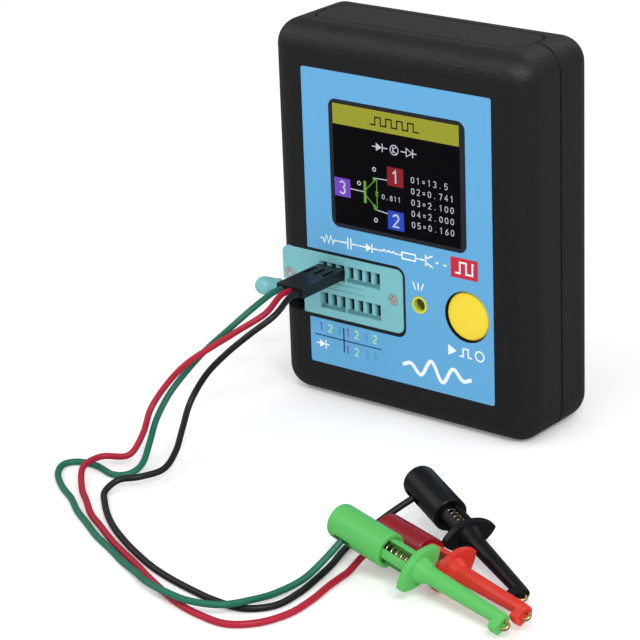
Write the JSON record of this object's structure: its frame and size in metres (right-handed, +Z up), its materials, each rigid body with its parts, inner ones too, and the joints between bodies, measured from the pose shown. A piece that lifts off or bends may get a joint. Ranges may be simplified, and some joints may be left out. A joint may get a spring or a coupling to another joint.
{
  "type": "component tester",
  "caption": "Pocket electronic component tester: black case, blue label, display, lever socket, start button and hook-clip leads.",
  "frame": {"origin": "middle of the flat bottom end of the case, on the surface it stands on", "axes": "+Z up along the case's height, -Y out of the front face with the display, +X to the right seen from the front"},
  "size_m": [0.1319, 0.1313, 0.09],
  "materials": {
    "case_black": "fine-grained black ABS with a soft sheen",
    "screw_black": "blackened steel",
    "label_blue": "satin printed film, light blue",
    "window_dark": "smooth dark window",
    "lcd": "dark display glass",
    "white_plastic": "white plastic",
    "black_plastic": "black moulded plastic",
    "board_green": "solder-masked glass-fibre board",
    "screw_steel": "bright steel",
    "socket_mint": "mint green moulded plastic, satin",
    "slide_mint": "mint green moulded plastic, satin",
    "contact_metal": "tinned contact strip",
    "lever_steel": "bright steel rod",
    "knob_mint": "mint green moulded plastic, satin",
    "button_yellow": "smooth yellow plastic",
    "ring_yellow": "yellow ring",
    "ir_lens": "dark moulded lens",
    "battery_foil": "foil pouch",
    "foam": "closed-cell foam",
    "wire_red": "red insulation",
    "port_steel": "plated steel",
    "led_red": "red lens",
    "chip_black": "moulded chip",
    "plug_black": "black moulded crimp housing",
    "pin_gold": "brass",
    "wire_green": "green silicone-like insulation",
    "wire_black": "black insulation",
    "clip_green": "bright green moulded plastic",
    "barrel_red": "deep red moulded plastic",
    "clip_black": "black moulded plastic",
    "spring_metal": "spring wire",
    "clip_red": "bright red moulded plastic"
  },
  "bodies": {
    "case": {"front_shell": "case_black", "back_shell": "case_black", "top_end_panel": "case_black", "bottom_end_panel": "case_black", "case_screws": "screw_black", "front_label": "label_blue", "display_window": "window_dark", "display_glass": "lcd", "display_frame": "white_plastic", "display_header": "black_plastic", "main_board": "board_green", "board_screws": "screw_steel", "zif_base": "socket_mint", "zif_cover": "socket_mint", "zif_contacts": "contact_metal", "zif_screws": "screw_steel", "switch_body": "black_plastic", "ir_ring": "ring_yellow", "ir_receiver": "ir_lens", "battery": "battery_foil", "battery_pad": "foam", "battery_connector": "white_plastic", "battery_leads": "wire_red", "usb_port": "port_steel", "charge_led": "led_red", "microcontroller": "chip_black", "charger_chip": "chip_black", "crystal": "port_steel", "plug_housing_green": "plug_black", "plug_housing_red": "plug_black", "plug_housing_black": "plug_black", "plug_pin_green": "pin_gold", "plug_pin_red": "pin_gold", "plug_pin_black": "pin_gold", "lead_green": "wire_green", "lead_red": "wire_red", "lead_black": "wire_black", "clip_barrel_green": "clip_green", "clip_barrel_red": "barrel_red", "clip_barrel_black": "clip_black", "clip_hook_green": "pin_gold", "clip_hook_red": "pin_gold", "clip_hook_black": "pin_gold", "clip_spring_green": "spring_metal", "clip_spring_red": "spring_metal", "clip_spring_black": "spring_metal"},
    "start_key": {"start_button": "button_yellow", "switch_plunger": "white_plastic"},
    "lever": {"zif_lever": "lever_steel", "zif_lever_knob": "knob_mint"},
    "socket_slide": {"zif_slide": "slide_mint"},
    "clip_slide_green": {"clip_nose_green": "clip_green"},
    "clip_slide_red": {"clip_nose_red": "clip_red"},
    "clip_slide_black": {"clip_nose_black": "clip_black"}
  },
  "joints": [
    {"name": "start_press", "type": "slide", "parent": "case", "child": "start_key", "axis": [0, 1, 0], "range_m": [0, 0.0006], "stiffness_N_per_m": 400, "springref_m": -0.0008},
    {"name": "lever_swing", "type": "hinge", "parent": "case", "child": "lever", "pos_m": [-0.0284, -0.0092, 0.025], "axis": [0, 0, 1], "range_deg": [0, 90]},
    {"name": "socket_shift", "type": "slide", "parent": "case", "child": "socket_slide", "axis": [1, 0, 0], "range_m": [0, 0.0012]},
    {"name": "clip_squeeze_green", "type": "slide", "parent": "case", "child": "clip_slide_green", "axis": [-0.9759, 0.1706, 0.1358], "range_m": [0, 0.006], "stiffness_N_per_m": 150, "springref_m": -0.003, "deforming": ["clip_spring_green"]},
    {"name": "clip_squeeze_red", "type": "slide", "parent": "case", "child": "clip_slide_red", "axis": [-0.9487, 0.3162, -0.0033], "range_m": [0, 0.006], "stiffness_N_per_m": 150, "springref_m": -0.003, "deforming": ["clip_spring_red"]},
    {"name": "clip_squeeze_black", "type": "slide", "parent": "case", "child": "clip_slide_black", "axis": [-0.8772, 0.462, 0.1306], "range_m": [0, 0.006], "stiffness_N_per_m": 150, "springref_m": -0.003, "deforming": ["clip_spring_black"]}
  ],
  "couplings": [
    {"joint": "lever_swing", "follows": "socket_shift", "rad_per_m": 1309}
  ]
}
